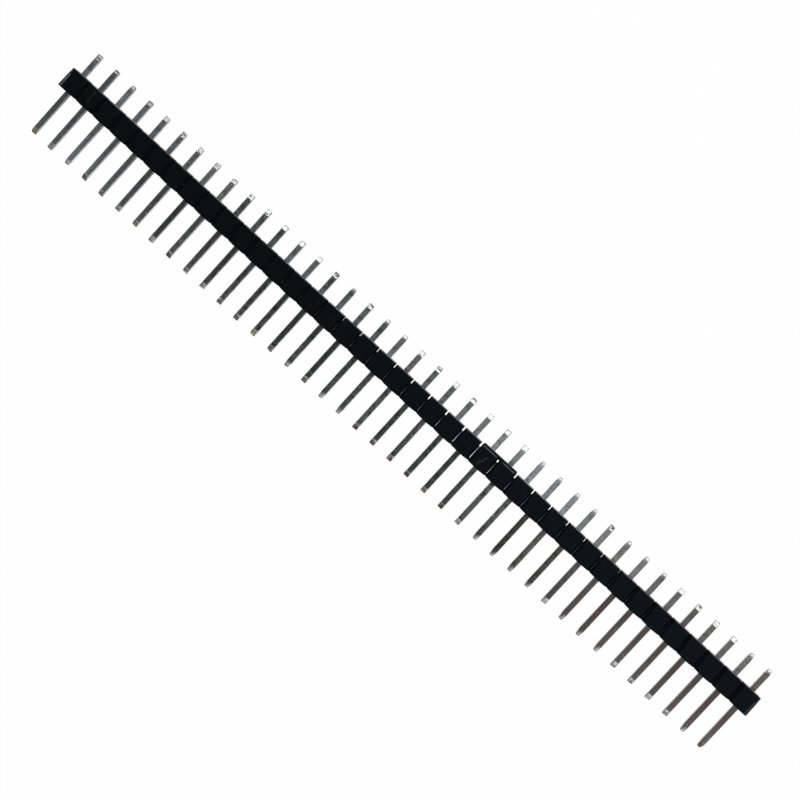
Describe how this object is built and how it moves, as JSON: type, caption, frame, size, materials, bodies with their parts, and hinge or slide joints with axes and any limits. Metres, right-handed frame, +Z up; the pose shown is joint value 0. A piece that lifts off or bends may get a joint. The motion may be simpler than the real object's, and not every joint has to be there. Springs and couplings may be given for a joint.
{
  "type": "pin header strip",
  "caption": "Breakaway strip of square header pins in a moulded black body, with long contacts on one side and short solder tails on the other.",
  "frame": {"origin": "on the surface that the strip lies on, at the middle of its outline seen from above", "axes": "+X along the row from the first pin to the last, +Y towards the solder tails, +Z up, away from that surface"},
  "size_m": [0.1016, 0.0116, 0.0025],
  "materials": {
    "body_plastic": "black moulded plastic with a satin skin and fine scuffs",
    "plated_pin": "drawn brass wire with a dull tin plate, bare at the sheared ends"
  },
  "bodies": {
    "root": {"strip_body": "body_plastic", "pin_01": "plated_pin", "pin_02": "plated_pin", "pin_03": "plated_pin", "pin_04": "plated_pin", "pin_05": "plated_pin", "pin_06": "plated_pin", "pin_07": "plated_pin", "pin_08": "plated_pin", "pin_09": "plated_pin", "pin_10": "plated_pin", "pin_11": "plated_pin", "pin_12": "plated_pin", "pin_13": "plated_pin", "pin_14": "plated_pin", "pin_15": "plated_pin", "pin_16": "plated_pin", "pin_17": "plated_pin", "pin_18": "plated_pin", "pin_19": "plated_pin", "pin_20": "plated_pin", "pin_21": "plated_pin", "pin_22": "plated_pin", "pin_23": "plated_pin", "pin_24": "plated_pin", "pin_25": "plated_pin", "pin_26": "plated_pin", "pin_27": "plated_pin", "pin_28": "plated_pin", "pin_29": "plated_pin", "pin_30": "plated_pin", "pin_31": "plated_pin", "pin_32": "plated_pin", "pin_33": "plated_pin", "pin_34": "plated_pin", "pin_35": "plated_pin", "pin_36": "plated_pin", "pin_37": "plated_pin", "pin_38": "plated_pin", "pin_39": "plated_pin", "pin_40": "plated_pin"}
  },
  "joints": []
}
